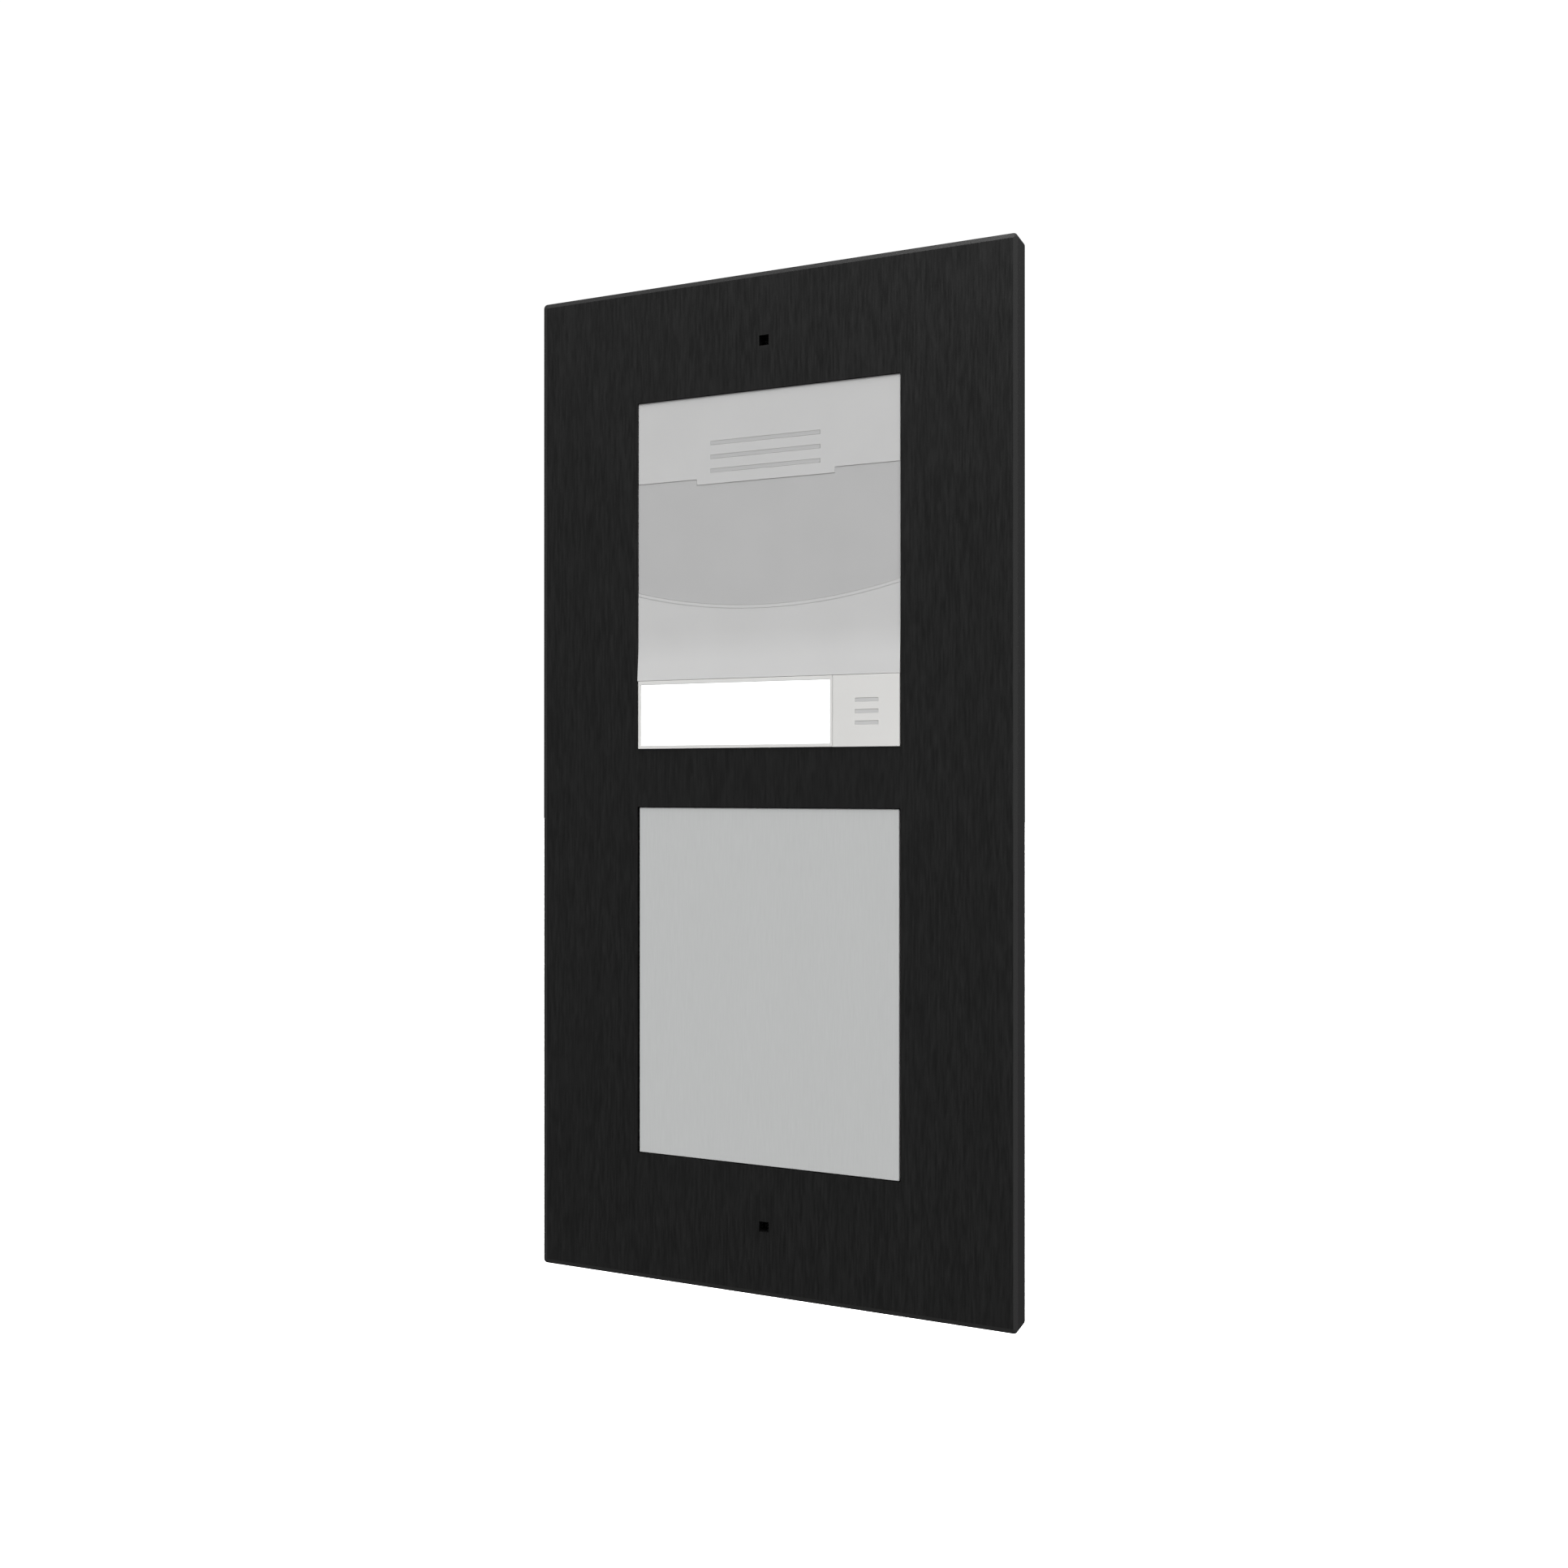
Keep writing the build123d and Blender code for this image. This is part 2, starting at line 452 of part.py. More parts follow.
with BuildPart() as key_tray:
    slab(KEY_X, (STRIP_D, 3.0), KEY_Z)
    chamfer(key_tray.faces().sort_by(Axis.Y)[0].edges(), STRIP_EDGE)
    slab(KEY_BOX_X, (3.0, KEY_BACK), KEY_BOX_Z)
    slab(grown(KEY_BOX_X, -1.2), (3.0, KEY_BACK), grown(KEY_BOX_Z, -1.2), Mode.SUBTRACT)
    for x in (*SPRING_X, STEM_X):
        slab((x - 2.6, x + 2.6), (5.8, KEY_BACK), KEY_BOX_Z)
    for x in (-30.0, 7.0):
        for z in (KEY_BOX_Z[0] - 0.8, KEY_BOX_Z[1]):
            slab((x - 3.0, x + 3.0), (5.9, KEY_BACK), (z, z + 0.8))
    for x in LED_X:
        slab((x - 4.0, x + 4.0), (2.0, 3.5), (STEM_Z - 5.0, STEM_Z + 5.0), Mode.SUBTRACT)
    slab(grown(LABEL_X, 0.05), (WINDOW_BACK, GUIDE_BACK), grown(LABEL_Z, 0.05), Mode.SUBTRACT)
    slab(grown(LABEL_X, 0.12), (-1, WINDOW_BACK), grown(LABEL_Z, 0.12), Mode.SUBTRACT)
    rod(STEM_X, STEM_Z, 2.0, (KEY_BACK, 9.0))
save(key_tray.part, "key_tray")

for name, d in (("label_window", (STRIP_D, WINDOW_BACK)), ("name_label", (WINDOW_BACK, LABEL_BACK)),
                ("light_guide", (LABEL_BACK, GUIDE_BACK))):
    with BuildPart() as layer:
        slab(LABEL_X, d, LABEL_Z)
        if name == "label_window":
            chamfer(layer.faces().sort_by(Axis.Y)[0].edges(), STRIP_EDGE)
    save(layer.part, name)

springs = [coil((x, FRONT + KEY_BACK, STEM_Z), (0, 1, 0), 1.9, 0.22, 4.8, 4) for x in SPRING_X]
save(Compound(children=springs), "key_springs")

with BuildPart() as key_switch:
    slab((STEM_X - 3.5, STEM_X + 3.5), (9.9, BOARD_D[0]), (STEM_Z - 3.5, STEM_Z + 3.5))
    rod(STEM_X, STEM_Z, 1.78, (9.0, 11.7), Mode.SUBTRACT)
save(key_switch.part, "key_switch")

with BuildPart() as switch_plunger:
    rod(STEM_X, STEM_Z, 1.72, (9.0, 10.8))
save(switch_plunger.part, "switch_plunger")

# ---------------------------------------------------------------- loudspeaker
with BuildPart() as speaker_membrane:
    slab(grown(GRILLE_X, -0.2), (CARRIER_D, CARRIER_D + 0.3), grown(GRILLE_Z, -0.2))
save(speaker_membrane.part, "speaker_membrane")

with BuildPart() as speaker_gasket:
    rod(0, SPEAKER_Z, 25.0, (FLANGE_D[0], 6.3))
    rod(0, SPEAKER_Z, SPEAKER_R, (5.0, 7.0), Mode.SUBTRACT)
save(speaker_gasket.part, "speaker_gasket")

with BuildPart() as speaker_basket:
    panel(51.0, 51.0, SPEAKER_Z, (6.3, 7.3), 5.0)
    countersink(0, SPEAKER_Z, 23.0, 13.5, (7.3, 15.0))
    rod(0, SPEAKER_Z, 13.5, (15.0, 16.3))
    rod(0, SPEAKER_Z, SPEAKER_R, (6.0, 7.3), Mode.SUBTRACT)
    countersink(0, SPEAKER_Z, SPEAKER_R, 12.5, (7.3, 15.0), Mode.SUBTRACT)
    rod(0, SPEAKER_Z, 7.0, (14.5, 17.0), Mode.SUBTRACT)
    for x, z in SPEAKER_CORNERS:
        rod(x, z, 1.3, (6.0, 8.0), Mode.SUBTRACT)
save(speaker_basket.part, "speaker_basket")

with BuildPart() as speaker_cone:
    rod(0, SPEAKER_Z, SPEAKER_R - 0.1, (6.4, 6.8))
    countersink(0, SPEAKER_Z, 19.0, 6.5, (6.8, 12.0))
    countersink(0, SPEAKER_Z, 18.5, 6.0, (6.3, 11.5), Mode.SUBTRACT)
    rod(0, SPEAKER_Z, 6.5, (11.5, 14.5))
    rod(0, SPEAKER_Z, 6.0, (12.0, 15.0), Mode.SUBTRACT)
save(speaker_cone.part, "speaker_cone")

with BuildPart() as speaker_magnet:
    rod(0, SPEAKER_Z, 13.5, (16.3, 21.5))
    rod(0, SPEAKER_Z, 5.5, (13.0, 16.3))
    fillet(speaker_magnet.faces().sort_by(Axis.Y)[-1].edges(), 0.8)
save(speaker_magnet.part, "speaker_magnet")

with BuildPart() as speaker_screws:
    for x, z in SPEAKER_CORNERS:
        rod(x, z, 2.2, (7.3, 8.7))
        rod(x, z, 1.0, (3.6, 7.3))
        slab((x - 1.3, x + 1.3), (8.1, 9.0), (z - 0.3, z + 0.3), Mode.SUBTRACT)
save(speaker_screws.part, "speaker_screws")

# ---------------------------------------------------------------- microphone
with BuildPart() as microphone_boot:
    rod(MIC_X, MIC_Z, 5.0, (FLANGE_D[0], BOARD_D[0]))
    rod(MIC_X, MIC_Z, 2.0, (5.0, 8.0), Mode.SUBTRACT)
    rod(MIC_X, MIC_Z, 3.02, (7.0, 13.0), Mode.SUBTRACT)
save(microphone_boot.part, "microphone_boot")

with BuildPart() as microphone_capsule:
    rod(MIC_X, MIC_Z, 3.0, (7.0, BOARD_D[0]))
save(microphone_capsule.part, "microphone_capsule")

# ---------------------------------------------------------------- circuit board
with BuildPart() as main_board:
    slab(BOARD_X, BOARD_D, BOARD_Z)
    fillet(main_board.edges().filter_by(Axis.Y), 1.5)
    for x, z in BOARD_HOLES:
        rod(x, z, 1.4, (11, 15), Mode.SUBTRACT)
save(main_board.part, "main_board")

with BuildPart() as board_screws:
    for x, z in BOARD_HOLES:
        rod(x, z, 1.2, (6.5, BOARD_D[1]))
        rod(x, z, 2.4, (BOARD_D[1], 15.0))
        slab((x - 1.5, x + 1.5), (14.4, 16.0), (z - 0.3, z + 0.3), Mode.SUBTRACT)
save(board_screws.part, "board_screws")

CHIPS = ((-22, 29, 14, 14, 1.4), (-3, 30, 8, 10, 1.6), (-35, 56, 5, 7, 1.5), (-6, 40, 5, 4, 1.2))

with BuildPart() as board_chips:
    for x, z, w, h, t in CHIPS:
        slab((x - w / 2, x + w / 2), (BOARD_D[1], BOARD_D[1] + t), (z - h / 2, z + h / 2))
save(board_chips.part, "board_chips")

with BuildPart() as board_capacitors:
    for x, z, r, t in ((14, 30, 4.0, 9.0), (25, 30, 4.0, 9.0), (36, 28, 3.1, 7.0)):
        rod(x, z, r, (BOARD_D[1], BOARD_D[1] + t))
    fillet(board_capacitors.edges().group_by(Axis.Y)[-1], 0.6)
save(board_capacitors.part, "board_capacitors")

with BuildPart() as label_leds:
    for x in LED_X:
        slab((x - 1.75, x + 1.75), (11.0, BOARD_D[0]), (STEM_Z - 1.4, STEM_Z + 1.4))
save(label_leds.part, "label_leds")

with BuildPart() as trimmer_bodies:
    for x in TRIMMER_X.values():
        slab((x - 3.5, x + 3.5), (BOARD_D[1], 18.1), (TRIMMER_Z - 3.5, TRIMMER_Z + 3.5))
        rod(x, TRIMMER_Z, 2.55, (15.1, 19.0), Mode.SUBTRACT)
save(trimmer_bodies.part, "trimmer_bodies")

for name, x in TRIMMER_X.items():
    with BuildPart() as rotor:
        rod(x, TRIMMER_Z, 2.5, (15.15, 18.7))
        slab((x - 2.0, x + 2.0), (17.7, 20.0), (TRIMMER_Z - 0.4, TRIMMER_Z + 0.4), Mode.SUBTRACT)
        slab((x - 0.4, x + 0.4), (17.7, 20.0), (TRIMMER_Z, TRIMMER_Z + 2.0), Mode.SUBTRACT)
    save(rotor.part, name)

WAY = (TERMINAL_X[1] - TERMINAL_X[0]) / TERMINAL_WAYS
WAY_X = [TERMINAL_X[0] + WAY * (n + 0.5) for n in range(TERMINAL_WAYS)]
WAY_SCREW_Z = 54.0
TERMINAL_BACK = 25.6

with BuildPart() as terminal_block:
    slab(TERMINAL_X, (BOARD_D[1], TERMINAL_BACK), TERMINAL_Z)
    for x in WAY_X:
        rod(x, WAY_SCREW_Z, 1.95, (20.0, 27.0), Mode.SUBTRACT)
        slab((x - 1.6, x + 1.6), (18.0, 27.0), (47.2, 50.4), Mode.SUBTRACT)
save(terminal_block.part, "terminal_block")

with BuildPart() as terminal_screws:
    for x in WAY_X:
        rod(x, WAY_SCREW_Z, 1.85, (20.0, 24.2))
        slot(x, WAY_SCREW_Z, 3.7, 0.6, (23.4, 25.0), Mode.SUBTRACT)
save(terminal_screws.part, "terminal_screws")

# ---------------------------------------------------------------- blank module
BLANK_D = 0.3

with BuildPart() as blank_fascia:
    panel(93.4, 117.3, LOWER_Z, (BLANK_D, CARRIER_D), 0.3)
    chamfer(blank_fascia.faces().sort_by(Axis.Y)[0].edges(), 0.15)
    for side in (-1, 1):
        for z in (LOWER_Z - 35.0, LOWER_Z + 35.0):
            slab(both(side, (38.4, 39.6)), (CARRIER_D, 9.0), (z - 6.0, z + 6.0))
            slab(both(side, (39.6, 40.8)), (7.5, 9.0), (z - 6.0, z + 6.0))
save(blank_fascia.part, "blank_fascia")

with BuildPart() as blank_carrier:
    panel(FLANGE_W, FLANGE_H, LOWER_Z, FLANGE_D, 3.0)
    panel(93.2, 116.9, LOWER_Z, (CARRIER_D, FLANGE_D[0]), 0.4)
    panel(BODY_W, BODY_H, LOWER_Z, (FLANGE_D[1], 14.0), 2.5)
    panel(BODY_W - 4.0, BODY_H - 4.0, LOWER_Z, (FLANGE_D[1], 15.0), 1.0, Mode.SUBTRACT)
    panel(80.0, 103.0, LOWER_Z, (1.0, 8.0), 2.0, Mode.SUBTRACT)
    for x, z in FLANGE_HOLES[4:]:
        rod(x, z, 1.6, (FLANGE_D[0] - 1, 8.0), Mode.SUBTRACT)
        countersink(x, z, 3.0, 1.6, (FLANGE_D[0], 6.7), Mode.SUBTRACT)
save(blank_carrier.part, "blank_carrier")
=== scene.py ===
"""Looks, light and camera for the door intercom panel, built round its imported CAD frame.

Lengths are metres in the row's frame: +Z up, the front facing -Y.
"""
import json
import math

import bpy
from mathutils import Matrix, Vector

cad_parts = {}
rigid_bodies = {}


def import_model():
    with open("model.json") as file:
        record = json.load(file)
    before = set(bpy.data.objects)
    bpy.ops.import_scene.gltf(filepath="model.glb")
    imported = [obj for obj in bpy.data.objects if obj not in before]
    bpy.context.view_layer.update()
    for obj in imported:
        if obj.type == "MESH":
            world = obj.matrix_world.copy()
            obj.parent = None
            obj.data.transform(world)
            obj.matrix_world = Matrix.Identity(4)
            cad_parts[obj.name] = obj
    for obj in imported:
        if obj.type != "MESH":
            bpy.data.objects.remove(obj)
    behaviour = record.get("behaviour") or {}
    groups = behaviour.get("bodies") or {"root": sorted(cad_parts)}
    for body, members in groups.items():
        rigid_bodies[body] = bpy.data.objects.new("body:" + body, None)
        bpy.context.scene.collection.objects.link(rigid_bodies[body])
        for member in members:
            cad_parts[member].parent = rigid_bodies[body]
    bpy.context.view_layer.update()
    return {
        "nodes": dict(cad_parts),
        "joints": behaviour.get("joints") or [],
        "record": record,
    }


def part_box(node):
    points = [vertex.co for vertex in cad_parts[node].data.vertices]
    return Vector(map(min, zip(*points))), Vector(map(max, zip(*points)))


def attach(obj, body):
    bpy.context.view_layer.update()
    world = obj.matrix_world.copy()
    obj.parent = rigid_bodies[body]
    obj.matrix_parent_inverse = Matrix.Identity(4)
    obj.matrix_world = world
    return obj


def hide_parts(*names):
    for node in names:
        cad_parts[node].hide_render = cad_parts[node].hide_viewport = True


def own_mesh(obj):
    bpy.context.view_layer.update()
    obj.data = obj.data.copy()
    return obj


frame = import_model()

MM = 0.001
PLATE_LOW, PLATE_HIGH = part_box("front_frame")
FRONT = PLATE_LOW.y                          # plane of the plate's face
MIDDLE = (PLATE_LOW.z + PLATE_HIGH.z) / 2
TARGET = (PLATE_LOW + PLATE_HIGH) / 2        # what the lamps point at

CAMERA_OFFSET = (0.2014, -0.4407, -0.0007)   # from the middle of the plate's face
CAMERA_YAW = 23.78
CAMERA_PITCH = 0.06
CAMERA_LENS = 33.93                          # on a 36 mm sensor

FLOOR_DROP = 0.23                            # floor below the plate's lower edge
FLOOR_SIZE = 30.0
LAMP_DISTANCE = 3.0                          # where the sun lamp stands; its light is the same anywhere
BACKDROP_STRENGTH = 1.05                     # white that the camera sees past the panel

BAND_DEPTH, BAND_WIDTH = 0.25, 1.4           # sloping band round the plate's face, in millimetres
BAND_SLOPE = math.atan2(BAND_DEPTH, BAND_WIDTH)

# Strength of the studio walls by the part of the direction along each axis.  The parts multiply.
SURROUND = {
    "Z": ((-1.0, 0.16), (-0.33, 0.22), (0.0, 0.28), (0.33, 0.27), (0.6, 0.58), (1.0, 1.0)),
    "Y": ((-0.1, 1.0), (0.4, 0.3), (1.0, 0.3)),
    "X": ((-1.0, 0.5), (-0.25, 0.45), (0.1, 1.0), (1.0, 0.9)),
}
SURROUND_STRENGTH = 1.65


# ---------------------------------------------------------------- shader helpers
class Shader:
    """A node material with short calls for the nodes that the finishes share."""

    def __init__(self, name):
        self.material = bpy.data.materials.new(name)
        self.material.use_nodes = True
        self.nodes = self.material.node_tree.nodes
        self.links = self.material.node_tree.links
        self.surface = self.nodes["Principled BSDF"]
        self.place = self.nodes.new("ShaderNodeTexCoord").outputs["Object"]

    def set(self, **values):
        """Constant values on the surface's own sockets, with _ for each space."""
        for name, value in values.items():
            self.surface.inputs[name.replace("_", " ")].default_value = value

    def link(self, output, name):
        self.links.new(output, self.surface.inputs[name])

    def stretched(self, per_metre):
        """Object coordinates times a number of cells per metre along each axis."""
        mapping = self.nodes.new("ShaderNodeMapping")
        mapping.inputs["Scale"].default_value = per_metre
        self.links.new(self.place, mapping.inputs["Vector"])
        return mapping.outputs["Vector"]

    def noise(self, per_metre, detail=3.0, roughness=0.5):
        """Fractal noise from 0 to 1."""
        node = self.nodes.new("ShaderNodeTexNoise")
        node.inputs["Scale"].default_value = 1.0
        node.inputs["Detail"].default_value = detail
        node.inputs["Roughness"].default_value = roughness
        self.links.new(self.stretched(per_metre), node.inputs["Vector"])
        return node.outputs["Fac"]

    def remap(self, value, low, high, source=(0.3, 0.7)):
        """A value carried from the source range to low..high."""
        node = self.nodes.new("ShaderNodeMapRange")
        node.inputs["From Min"].default_value = source[0]
        node.inputs["From Max"].default_value = source[1]
        node.inputs["To Min"].default_value = low
        node.inputs["To Max"].default_value = high
        self.links.new(value, node.inputs["Value"])
        return node.outputs["Result"]

    def times(self, a, b):
        node = self.nodes.new("ShaderNodeMath")
        node.operation = "MULTIPLY"
        self.links.new(a, node.inputs[0])
        self.links.new(b, node.inputs[1])
        return node.outputs["Value"]

    def mix(self, factor, first, second):
        """Blend of two colours, each a colour or another node's output."""
        node = self.nodes.new("ShaderNodeMix")
        node.data_type = "RGBA"
        self.links.new(factor, node.inputs["Factor"])
        for socket, colour in ((node.inputs[6], first), (node.inputs[7], second)):
            if isinstance(colour, tuple):
                socket.default_value = (*colour, 1.0)
            else:
                self.links.new(colour, socket)
        return node.outputs[2]

    def bump(self, height, strength, distance):
        node = self.nodes.new("ShaderNodeBump")
        node.inputs["Strength"].default_value = strength
        node.inputs["Distance"].default_value = distance
        self.links.new(height, node.inputs["Height"])
        self.link(node.outputs["Normal"], "Normal")

    def sloping(self, lean):
        """1 where a face leans from the front plane by about this angle, and 0 elsewhere."""
        axes = self.nodes.new("ShaderNodeSeparateXYZ")
        self.links.new(self.nodes.new("ShaderNodeNewGeometry").outputs["True Normal"], axes.inputs["Vector"])
        near = self.nodes.new("ShaderNodeMath")
        near.operation = "COMPARE"
        near.inputs[1].default_value = -math.cos(lean)
        near.inputs[2].default_value = (1.0 - math.cos(lean)) / 2
        self.links.new(axes.outputs["Y"], near.inputs[0])
        return near.outputs["Value"]

    def edges(self, radius):
        """1 along sharp edges and 0 away from them."""
        bevel = self.nodes.new("ShaderNodeBevel")
        bevel.samples = 4
        bevel.inputs["Radius"].default_value = radius
        facing = self.nodes.new("ShaderNodeVectorMath")
        facing.operation = "DOT_PRODUCT"
        normal = self.nodes.new("ShaderNodeNewGeometry").outputs["Normal"]
        self.links.new(bevel.outputs["Normal"], facing.inputs[0])
        self.links.new(normal, facing.inputs[1])
        return self.remap(facing.outputs["Value"], 1.0, 0.0, (0.72, 0.99))


def shade(colour, factor):
    """A colour made darker or lighter."""
    return tuple(min(1.0, c * factor) for c in colour)


# ---------------------------------------------------------------- finishes
def brushed_metal(name, colour, metallic, roughness, contrast):
    """Metal sheet with a fine vertical grain."""
    s = Shader(name)
    grain = s.noise((2600, 2600, 130), 4.0, 0.6)
    broad = s.noise((120, 120, 6), 2.0)
    streaks = s.times(s.remap(grain, 0.0, 1.0), s.remap(broad, 0.8, 1.0))
    s.link(s.mix(streaks, shade(colour, 1.0 - contrast), shade(colour, 1.0 + contrast)), "Base Color")
    s.link(s.remap(grain, roughness - 0.05, roughness + 0.06), "Roughness")
    s.set(Metallic=metallic, Anisotropic=0.4)
    s.bump(grain, 0.12, 0.02 * MM)
    return s.material


def anodised_frame(name, colour, band_highlight_colour, roughness):
    """Black anodised plate: faint vertical streaks, and a smoother band round its face that is painted
    paler, a painted highlight where the sloping band catches the light.
    """
    s = Shader(name)
    grain = s.noise((2000, 2000, 130), 3.0, 0.6)
    broad = s.noise((90, 90, 7), 2.0)
    streaks = s.times(s.remap(grain, 0.0, 1.0, (0.36, 0.66)), s.remap(broad, 0.75, 1.0))
    face = s.mix(streaks, shade(colour, 0.45), shade(colour, 1.7))
    band = s.sloping(BAND_SLOPE)
    rubbed = s.remap(s.noise((60, 60, 60), 4.0, 0.6), 0.8, 1.15)
    # painted highlight: the sloping band, picked by the way it faces, gets a paler colour than the face
    s.link(s.mix(band, face, band_highlight_colour), "Base Color")
    s.link(s.mix(band, s.remap(grain, roughness - 0.05, roughness + 0.05), s.remap(rubbed, 0.30, 0.26)),
           "Roughness")
    s.set(Anisotropic=0.3)
    s.bump(grain, 0.10, 0.02 * MM)
    return s.material


def moulded_plastic(name, colour, roughness, grain=0.10, glow=0.0):
    """Satin plastic with a faint spark-eroded grain and slow colour drift."""
    s = Shader(name)
    fine = s.noise((4200, 4200, 4200), 2.0)
    slow = s.noise((55, 55, 55), 2.0)
    base = s.mix(s.remap(slow, 0.0, 1.0), shade(colour, 0.985), shade(colour, 1.015))
    s.link(base, "Base Color")
    s.link(s.remap(fine, roughness - 0.04, roughness + 0.05), "Roughness")
    s.bump(fine, grain, 0.03 * MM)
    if glow:
        s.link(base, "Emission Color")
        s.set(Emission_Strength=glow)
    return s.material


def cast_plastic(name, colour, roughness=0.6):
    """Coarser plastic of hidden mouldings, with flow marks and rubbed edges."""
    s = Shader(name)
    fine = s.noise((1500, 1500, 1500), 3.0)
    flow = s.noise((18, 18, 70), 4.0, 0.65)
    base = s.mix(s.remap(flow, 0.0, 1.0), shade(colour, 0.94), shade(colour, 1.04))
    rubbed = s.times(s.edges(0.5 * MM), s.remap(s.noise((250, 250, 250)), 0.1, 0.6))
    s.link(s.mix(rubbed, base, shade(colour, 1.7)), "Base Color")
    s.link(s.remap(fine, roughness - 0.08, roughness + 0.1), "Roughness")
    s.bump(fine, 0.25, 0.06 * MM)
    return s.material


def plated_steel(name, colour=(0.55, 0.56, 0.58), roughness=0.32):
    """Zinc-plated steel: cloudy spangle with brighter and duller patches."""
    s = Shader(name)
    cloud = s.noise((220, 220, 220), 5.0, 0.7)
    fine = s.noise((2600, 2600, 2600), 2.0)
    s.link(s.mix(s.remap(cloud, 0.0, 1.0), shade(colour, 0.8), shade(colour, 1.12)), "Base Color")
    s.link(s.remap(cloud, roughness + 0.12, roughness - 0.08), "Roughness")
    s.set(Metallic=1.0)
    s.bump(fine, 0.1, 0.02 * MM)
    return s.material


def foam_rubber(name, colour):
    """Closed-cell foam: small round cells pressed into a dull black surface."""
    s = Shader(name)
    cells = s.nodes.new("ShaderNodeTexVoronoi")
    cells.inputs["Scale"].default_value = 1.0
    s.links.new(s.stretched((1600, 1600, 1600)), cells.inputs["Vector"])
    pit_depth_and_shade = cells.outputs["Distance"]
    # painted shade: the colour darkens towards each cell's middle, where it is pressed deepest
    s.link(s.mix(pit_depth_and_shade, shade(colour, 0.6), shade(colour, 1.6)), "Base Color")
    s.set(Roughness=0.92)
    s.bump(pit_depth_and_shade, 0.5, 0.12 * MM)
    return s.material


def printed_board(name):
    """Green solder mask over copper tracks, with a faint glass weave."""
    s = Shader(name)
    tracks = s.nodes.new("ShaderNodeTexBrick")
    tracks.inputs["Scale"].default_value = 1.0
    tracks.inputs["Mortar Size"].default_value = 0.08
    swap = s.nodes.new("ShaderNodeSeparateXYZ")
    join = s.nodes.new("ShaderNodeCombineXYZ")
    s.links.new(s.stretched((420, 420, 420)), swap.inputs["Vector"])
    s.links.new(swap.outputs["X"], join.inputs["X"])
    s.links.new(swap.outputs["Z"], join.inputs["Y"])
    s.links.new(join.outputs["Vector"], tracks.inputs["Vector"])
    weave = s.noise((900, 900, 900), 2.0)
    copper = s.mix(tracks.outputs["Fac"], (0.012, 0.12, 0.05), (0.03, 0.26, 0.10))
    s.link(s.mix(s.remap(weave, 0.0, 0.35), copper, (0.01, 0.10, 0.04)), "Base Color")
    s.link(s.remap(weave, 0.25, 0.4), "Roughness")
    s.bump(tracks.outputs["Fac"], 0.3, 0.05 * MM)
    return s.material


def fibrous(name, colour, roughness=0.9, glow=0.0):
    """Card, cone paper or woven membrane: crossed fibres in the colour and the bump."""
    s = Shader(name)
    fibres = s.noise((2500, 2500, 500), 4.0, 0.7)
    s.link(s.mix(s.remap(fibres, 0.0, 1.0), shade(colour, 0.97), shade(colour, 1.02)), "Base Color")
    s.link(s.remap(fibres, roughness - 0.05, roughness), "Roughness")
    s.bump(fibres, 0.08, 0.02 * MM)
    # painted light: a glow makes the card brighter, though it is no lamp
    if glow:
        s.set(Emission_Color=(1.0, 1.0, 1.0, 1.0), Emission_Strength=glow)
    return s.material


def clear_plastic(name, alpha, roughness):
    """Clear window: mostly see-through, with its own soft gloss and faint hairlines."""
    s = Shader(name)
    hairs = s.noise((3000, 3000, 120), 3.0)
    s.link(s.remap(hairs, roughness - 0.02, roughness + 0.04), "Roughness")
    s.set(Base_Color=(0.96, 0.98, 0.99, 1.0), Alpha=alpha, IOR=1.49)
    s.bump(hairs, 0.03, 0.01 * MM)
    return s.material


FINISHES = {
    # the plate's second colour is the painted highlight on its sloping band
    "frame_black": anodised_frame("anodised_black", (0.0052, 0.0052, 0.0052), (0.019, 0.019, 0.019), 0.34),
    "blank_metal": brushed_metal("anodised_silver", (0.580, 0.590, 0.587), 0.2, 0.42, 0.03),
    "light_cover": moulded_plastic("plastic_light_grey", (0.535, 0.535, 0.533), 0.42),
    "mid_grey": moulded_plastic("plastic_mid_grey", (0.45, 0.45, 0.45), 0.46),
    "strip_grey": moulded_plastic("plastic_pale_grey", (0.688, 0.684, 0.670), 0.42),
    # the label card's glow is painted light that brightens it
    "label_paper": fibrous("label_card", (0.95, 0.95, 0.95), glow=0.55),
    "clear_window": clear_plastic("window_polycarbonate", 0.10, 0.12),
    "light_guide": clear_plastic("acrylic_frosted", 0.75, 0.4),
    "steel": plated_steel("steel_zinc_sheet"),
    "screw_steel": plated_steel("steel_zinc_screw", (0.62, 0.61, 0.58), 0.26),
    "spring_wire": plated_steel("spring_wire", (0.5, 0.5, 0.52), 0.22),
    "aluminium_can": plated_steel("aluminium_drawn", (0.74, 0.75, 0.77), 0.24),
    "brass_insert": plated_steel("brass_turned", (0.72, 0.50, 0.18), 0.28),
    "seal_foam": foam_rubber("foam_black", (0.018, 0.018, 0.018)),
    "box_plastic": cast_plastic("plastic_box_grey", (0.20, 0.21, 0.22)),
    "dark_plastic": cast_plastic("plastic_charcoal", (0.025, 0.025, 0.027), 0.5),
    "board_green": printed_board("board_solder_mask"),
    "membrane": fibrous("membrane_weave", (0.08, 0.08, 0.085)),
    "cone_paper": fibrous("cone_paper", (0.06, 0.06, 0.06)),
    "led_white": moulded_plastic("diode_phosphor", (0.9, 0.86, 0.62), 0.3, glow=0.6),
    "trimmer_blue": cast_plastic("plastic_blue", (0.03, 0.09, 0.36)),
    "trimmer_cream": cast_plastic("plastic_cream", (0.72, 0.66, 0.5)),
    "terminal_green": cast_plastic("plastic_green", (0.03, 0.24, 0.09)),
}


def dress_nodes():
    """Gives every CAD node the finish of its material slot."""
    for part in frame["record"]["subparts"]:
        node = frame["nodes"][part["node"]]
        node.data.materials.clear()
        node.data.materials.append(FINISHES[part["material_slot"]])


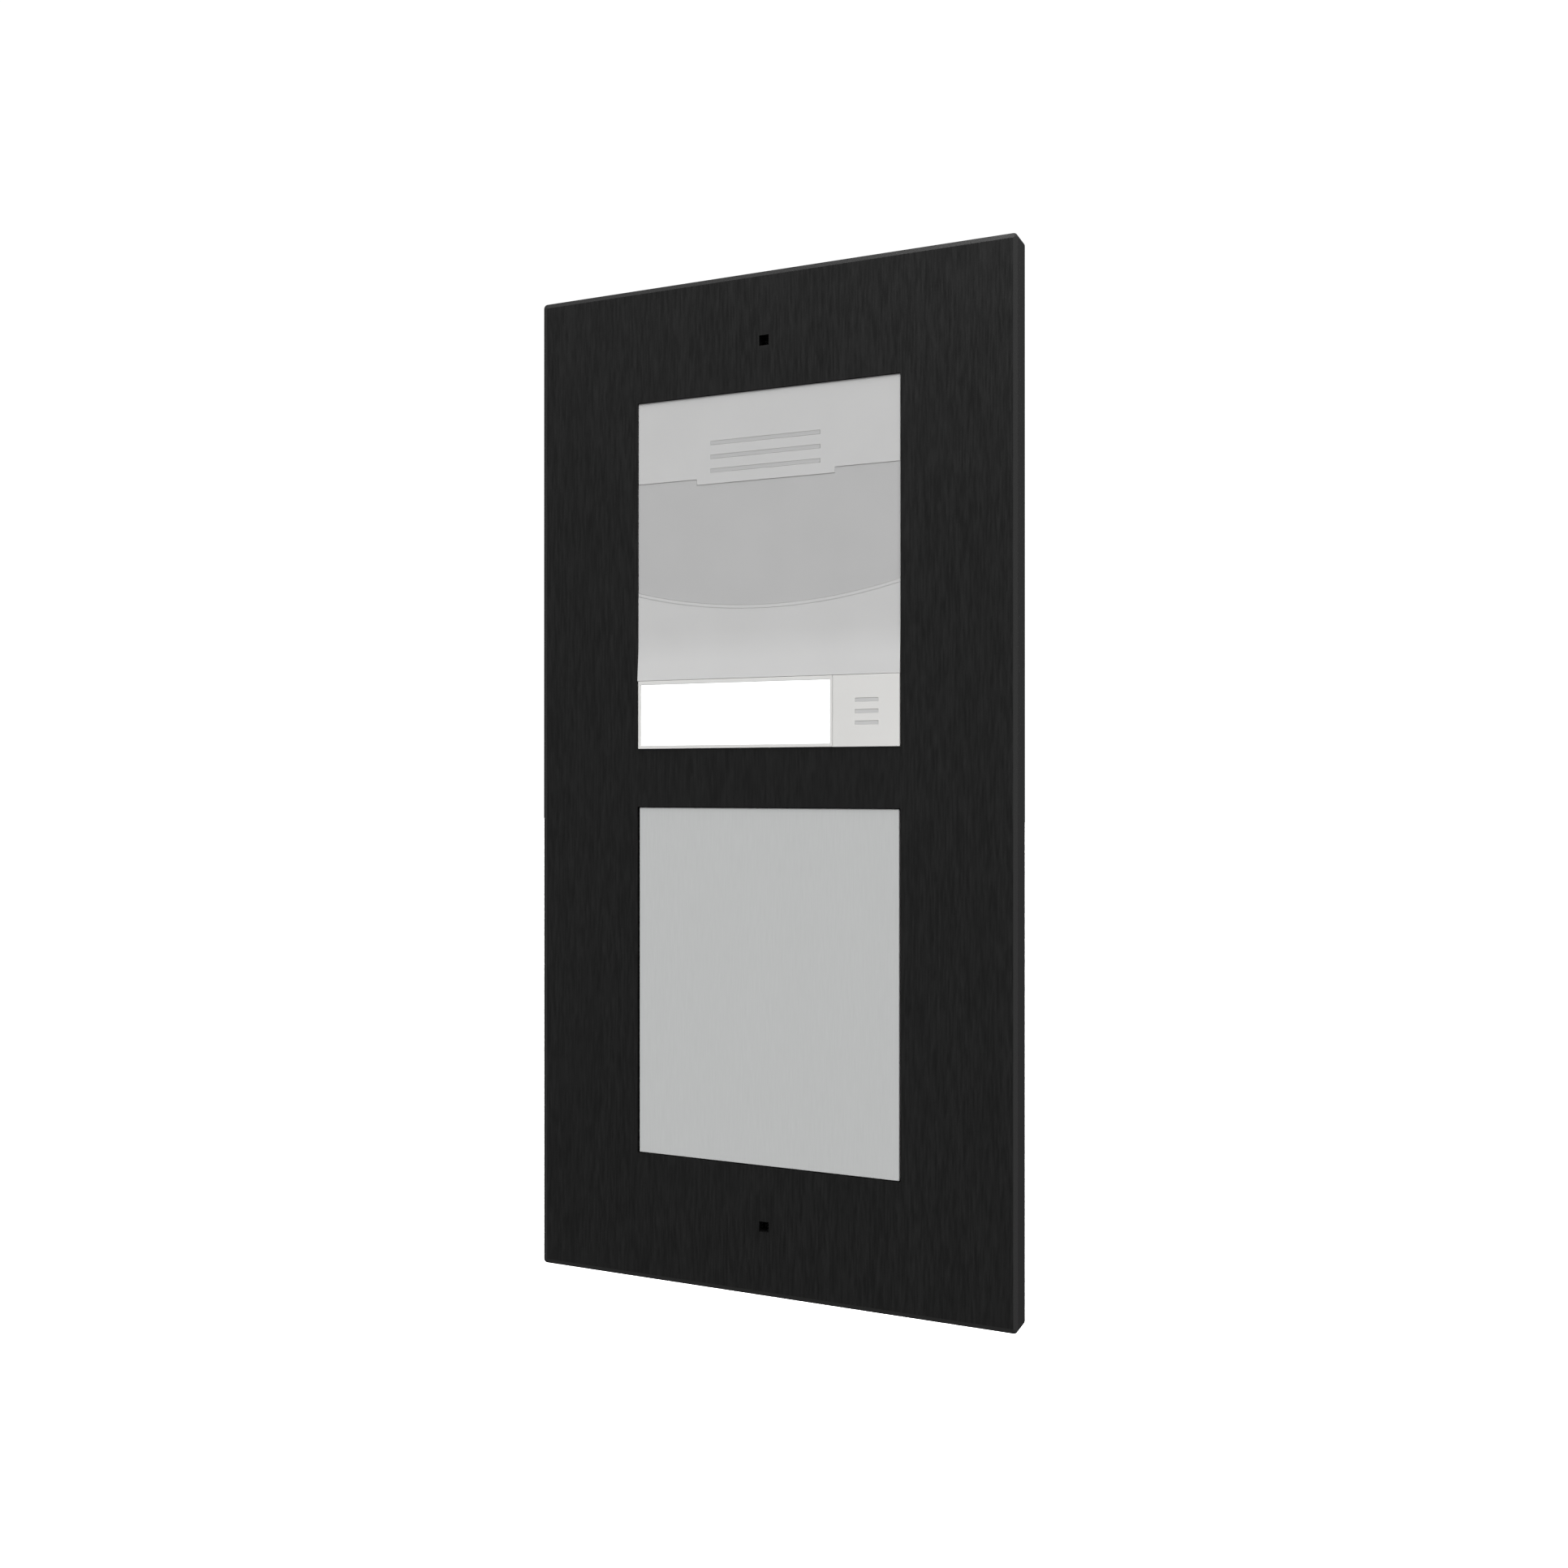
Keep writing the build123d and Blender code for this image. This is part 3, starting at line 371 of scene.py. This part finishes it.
def working_spring(node, joint):
    """A copy of the node's spring, held by the joint's parent body, in place of the node.
    """
    spring = bpy.data.objects.new(f"{node}_working", frame["nodes"][node].data.copy())
    bpy.context.scene.collection.objects.link(spring)
    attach(spring, joint["parent"])
    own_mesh(spring)
    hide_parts(node)


def fit_springs():
    """Puts a working spring in place of every node that the record says deforms."""
    for joint in frame["joints"]:
        for deforming in joint.get("deforming_nodes", []):
            working_spring(deforming["node"], joint)


# ---------------------------------------------------------------- stage
def studio_floor():
    """Plain pale floor, well below the panel because the panel hangs on a wall."""
    bpy.ops.mesh.primitive_plane_add(size=FLOOR_SIZE, location=(0, 0, PLATE_LOW.z - FLOOR_DROP))
    floor = bpy.context.object
    floor.name = "studio_floor"
    floor.visible_glossy = False
    floor.visible_diffuse = False
    s = Shader("floor_pale")
    tone = s.mix(s.noise((3, 3, 3), 3.0), (0.93, 0.93, 0.93), (0.95, 0.95, 0.95))
    s.link(tone, "Base Color")
    s.link(tone, "Emission Color")
    s.set(Roughness=0.9, Emission_Strength=0.85)
    floor.data.materials.append(s.material)


def aimed(name, data, place):
    """A lamp at place that shines towards the panel's middle."""
    lamp = bpy.data.objects.new(name, data)
    bpy.context.scene.collection.objects.link(lamp)
    lamp.location = place
    lamp.rotation_mode = "QUATERNION"
    lamp.rotation_quaternion = (lamp.location - TARGET).to_track_quat("Z", "Y")
    return lamp


def far_light(name, azimuth, elevation, strength, spread):
    """Broad even light from far off, at an azimuth to the right of the front."""
    data = bpy.data.lights.new(name, "SUN")
    data.energy = strength
    data.angle = math.radians(spread)
    turn, rise = math.radians(azimuth), math.radians(elevation)
    way = (math.sin(turn) * math.cos(rise), -math.cos(turn) * math.cos(rise), math.sin(rise))
    return aimed(name, data, TARGET + LAMP_DISTANCE * Vector(way))


def softbox(name, place, size, power):
    """Rectangular studio light that faces the panel."""
    data = bpy.data.lights.new(name, "AREA")
    data.shape = "RECTANGLE"
    data.size, data.size_y = size
    data.energy = power
    return aimed(name, data, place)


def strength_ramp(nodes, stops):
    """Ramp node from (direction, strength) pairs, where a direction's part runs from -1 to 1."""
    ramp = nodes.new("ShaderNodeValToRGB")
    ends = ramp.color_ramp.elements
    while len(ends) < len(stops):
        ends.new(0.5)
    for end, (part, strength) in zip(ends, stops):
        end.position = (part + 1) / 2
        end.color = (strength, strength, strength, 1.0)
    return ramp


def studio_surround():
    """Studio walls that pale towards the ceiling, and plain white where the camera sees past the panel."""
    world = bpy.data.worlds.new("studio")
    bpy.context.scene.world = world
    world.use_nodes = True
    nodes, links = world.node_tree.nodes, world.node_tree.links
    direction = nodes.new("ShaderNodeSeparateXYZ")
    links.new(nodes.new("ShaderNodeTexCoord").outputs["Generated"], direction.inputs["Vector"])
    factors = []
    for axis, stops in SURROUND.items():
        centred = nodes.new("ShaderNodeMapRange")
        centred.inputs["From Min"].default_value = -1.0
        links.new(direction.outputs[axis], centred.inputs["Value"])
        ramp = strength_ramp(nodes, stops)
        links.new(centred.outputs["Result"], ramp.inputs["Fac"])
        factors.append(ramp.outputs["Color"])
    strength = factors[0]
    for factor in factors[1:]:
        product = nodes.new("ShaderNodeVectorMath")
        product.operation = "MULTIPLY"
        links.new(strength, product.inputs[0])
        links.new(factor, product.inputs[1])
        strength = product.outputs["Vector"]
    light = nodes["Background"]
    links.new(strength, light.inputs["Color"])
    light.inputs["Strength"].default_value = SURROUND_STRENGTH
    plain = nodes.new("ShaderNodeBackground")
    plain.inputs["Color"].default_value = (1, 1, 1, 1)
    plain.inputs["Strength"].default_value = BACKDROP_STRENGTH
    blend = nodes.new("ShaderNodeMixShader")
    links.new(nodes.new("ShaderNodeLightPath").outputs["Is Camera Ray"], blend.inputs[0])
    links.new(light.outputs[0], blend.inputs[1])
    links.new(plain.outputs[0], blend.inputs[2])
    links.new(blend.outputs[0], nodes["World Output"].inputs["Surface"])


def studio_camera():
    """Camera level with the panel's middle and to its right, as a viewer at the door stands."""
    data = bpy.data.cameras.new("camera")
    data.sensor_width = 36.0
    data.lens = CAMERA_LENS
    data.clip_start = 0.01
    camera = bpy.data.objects.new("camera", data)
    bpy.context.scene.collection.objects.link(camera)
    right, back, up = CAMERA_OFFSET
    camera.location = (right, FRONT + back, MIDDLE + up)
    camera.rotation_euler = (math.radians(90 + CAMERA_PITCH), 0, math.radians(CAMERA_YAW))
    bpy.context.scene.camera = camera


dress_nodes()
fit_springs()
studio_floor()
studio_surround()
far_light("light_above", azimuth=15.0, elevation=70.0, strength=5.4, spread=60.0)
behind = softbox("light_behind", place=(0.5, 1.1, 0.7), size=(1.4, 1.4), power=26.0)
behind.visible_glossy = False                # it lights the rear but is not mirrored by the plate
studio_camera()
bpy.context.scene.view_settings.view_transform = "Standard"
